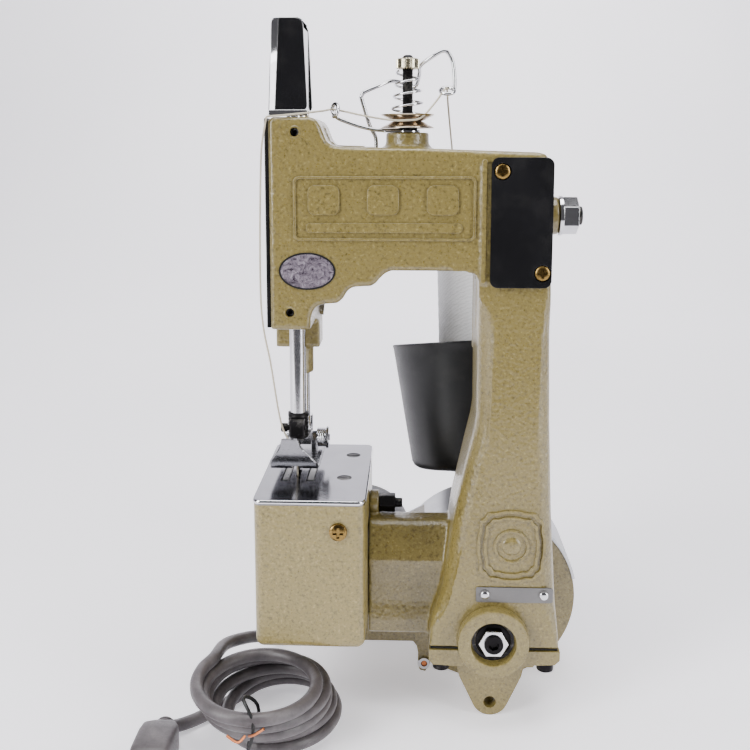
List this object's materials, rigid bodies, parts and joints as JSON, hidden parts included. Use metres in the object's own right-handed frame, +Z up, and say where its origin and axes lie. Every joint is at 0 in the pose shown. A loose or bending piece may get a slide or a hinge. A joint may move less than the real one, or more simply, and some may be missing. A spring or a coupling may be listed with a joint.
{
  "type": "bag closer sewing machine",
  "caption": "Portable bag closer with a cast column and arm, looper box, needle and presser, belt-driven shaft, motor, thread cup and rear grip.",
  "frame": {"origin": "centre of the footprint of the machine without its lead, on the plane it stands on", "axes": "+X along the arm from the needle to the column, +Y from the front face to the motor, +Z up"},
  "size_m": [0.235, 0.2713, 0.376],
  "materials": {
    "hammer_paint": "hammertone enamel",
    "black_paint": "gloss",
    "steel": "ground",
    "dark_steel": "oiled black",
    "chrome": "polished",
    "aluminium": "satin",
    "cast_iron": "machined",
    "gilt": "passivated",
    "bronze": "turned",
    "black_plastic": "satin",
    "gloss_black": "gloss",
    "thread": "wound thread",
    "belt_rubber": "matte",
    "cord_pvc": "satin"
  },
  "bodies": {
    "frame": {"main_frame": "hammer_paint", "rating_plate": "aluminium", "box_cover": "hammer_paint", "looper_bracket": "cast_iron", "throat_plate": "chrome", "throat_plate_screws": "dark_steel", "beam_bolt": "dark_steel", "bottom_cap": "hammer_paint", "cap_screws": "dark_steel", "front_bearing": "hammer_paint", "rear_bushing": "bronze", "rocker_pivot": "steel", "side_cover": "gloss_black", "cover_screws": "gilt", "hanging_stud": "dark_steel", "hanging_nut": "chrome", "face_plate": "black_paint", "needle_bar_bushings": "bronze", "presser_spring": "steel", "top_guard": "chrome", "guard_panels": "gloss_black", "tension_post": "dark_steel", "tension_spring": "chrome", "thread_guide_wire": "chrome", "pigtail_guide": "chrome", "belt_housing": "hammer_paint", "belt_cover": "aluminium", "drive_belt": "belt_rubber", "motor_housing": "black_paint", "motor_end_bell": "black_plastic", "thread_cup": "black_plastic", "cup_bracket": "aluminium", "handle": "black_plastic", "power_cord": "cord_pvc", "cord_hank": "cord_pvc", "plug": "cord_pvc"},
    "shaft": {"main_shaft": "steel", "shaft_nut": "chrome", "shaft_set_screw": "dark_steel", "drive_eccentric": "steel", "driven_pulley": "aluminium"},
    "motor": {"motor_pulley": "steel", "motor_rotor": "steel"},
    "rocker": {"rocker_lever": "cast_iron"},
    "rod": {"connecting_rod": "aluminium"},
    "needle_slide": {"needle_bar": "chrome", "needle_clamp": "dark_steel", "needle": "chrome"},
    "looper_arm": {"looper": "chrome", "looper_shaft": "steel"},
    "feed": {"feed_dog": "steel", "feed_bar": "dark_steel"},
    "presser": {"presser_bar": "chrome"},
    "foot": {"presser_foot": "chrome"},
    "lift_lever": {"presser_lever": "chrome"},
    "adjuster": {"presser_adjuster": "chrome"},
    "disc_pair": {"tension_discs": "bronze"},
    "tension_knob": {"tension_nut": "chrome"},
    "trigger_key": {"trigger": "black_plastic"},
    "cone": {"thread_cone": "thread"}
  },
  "joints": [
    {"name": "shaft_turn", "type": "hinge", "parent": "frame", "child": "shaft", "pos_m": [0.03625, -0.07662, 0.051], "axis": [0, 1, 0], "continuous": true},
    {"name": "motor_turn", "type": "hinge", "parent": "frame", "child": "motor", "pos_m": [-0.04175, 0.02337, 0.042], "axis": [0, 1, 0], "continuous": true},
    {"name": "rocker_swing", "type": "hinge", "parent": "frame", "child": "rocker", "pos_m": [0.02425, -0.05262, 0.278], "axis": [0, 1, 0], "range_deg": [0, 19.4]},
    {"name": "rod_swing", "type": "hinge", "parent": "rocker", "child": "rod", "pos_m": [0.04002, -0.05262, 0.2807], "axis": [0, 1, 0], "range_deg": [-19.5, 0.1]},
    {"name": "needle_stroke", "type": "slide", "parent": "frame", "child": "needle_slide", "axis": [0, 0, 1], "range_m": [0, 0.028]},
    {"name": "looper_rock", "type": "hinge", "parent": "frame", "child": "looper_arm", "pos_m": [-0.03375, -0.04263, 0.082], "axis": [1, 0, 0], "range_deg": [-8, 12]},
    {"name": "feed_lift", "type": "hinge", "parent": "frame", "child": "feed", "pos_m": [-0.06375, -0.01663, 0.114], "axis": [1, 0, 0], "range_deg": [-2.5, 0.5]},
    {"name": "presser_lift", "type": "slide", "parent": "frame", "child": "presser", "axis": [0, 0, 1], "range_m": [-0.0059, 0.008], "deforming": ["presser_spring"]},
    {"name": "foot_tilt", "type": "hinge", "parent": "presser", "child": "foot", "pos_m": [-0.06875, -0.03963, 0.15], "axis": [1, 0, 0], "range_deg": [-8, 4]},
    {"name": "lever_lift", "type": "hinge", "parent": "frame", "child": "lift_lever", "pos_m": [-0.05975, -0.02463, 0.25], "axis": [0, 1, 0], "range_deg": [0, 40]},
    {"name": "adjuster_turn", "type": "hinge", "parent": "frame", "child": "adjuster", "pos_m": [-0.06875, -0.03862, 0.35], "axis": [0, 0, 1], "range_deg": [-360, 360]},
    {"name": "disc_turn", "type": "hinge", "parent": "frame", "child": "disc_pair", "pos_m": [-0.01075, -0.05362, 0.325], "axis": [0, 0, 1], "continuous": true},
    {"name": "tension_turn", "type": "hinge", "parent": "frame", "child": "tension_knob", "pos_m": [-0.01075, -0.05362, 0.352], "axis": [0, 0, 1], "range_deg": [-720, 720]},
    {"name": "trigger_pull", "type": "slide", "parent": "frame", "child": "trigger_key", "axis": [0, 1, 0], "range_m": [0, 0.0045], "stiffness_N_per_m": 400},
    {"name": "cone_lift", "type": "slide", "parent": "frame", "child": "cone", "axis": [-0.0614, 0.2079, 0.9762], "range_m": [0, 0.12]}
  ],
  "couplings": [
    {"joint": "motor_turn", "follows": "shaft_turn", "ratio": 3.9333},
    {"joint": "needle_stroke", "follows": "rocker_swing", "m_per_rad": 0.0826},
    {"joint": "rod_swing", "follows": "rocker_swing", "ratio": -1},
    {"joint": "presser_lift", "follows": "lever_lift", "m_per_rad": 0.0114}
  ]
}
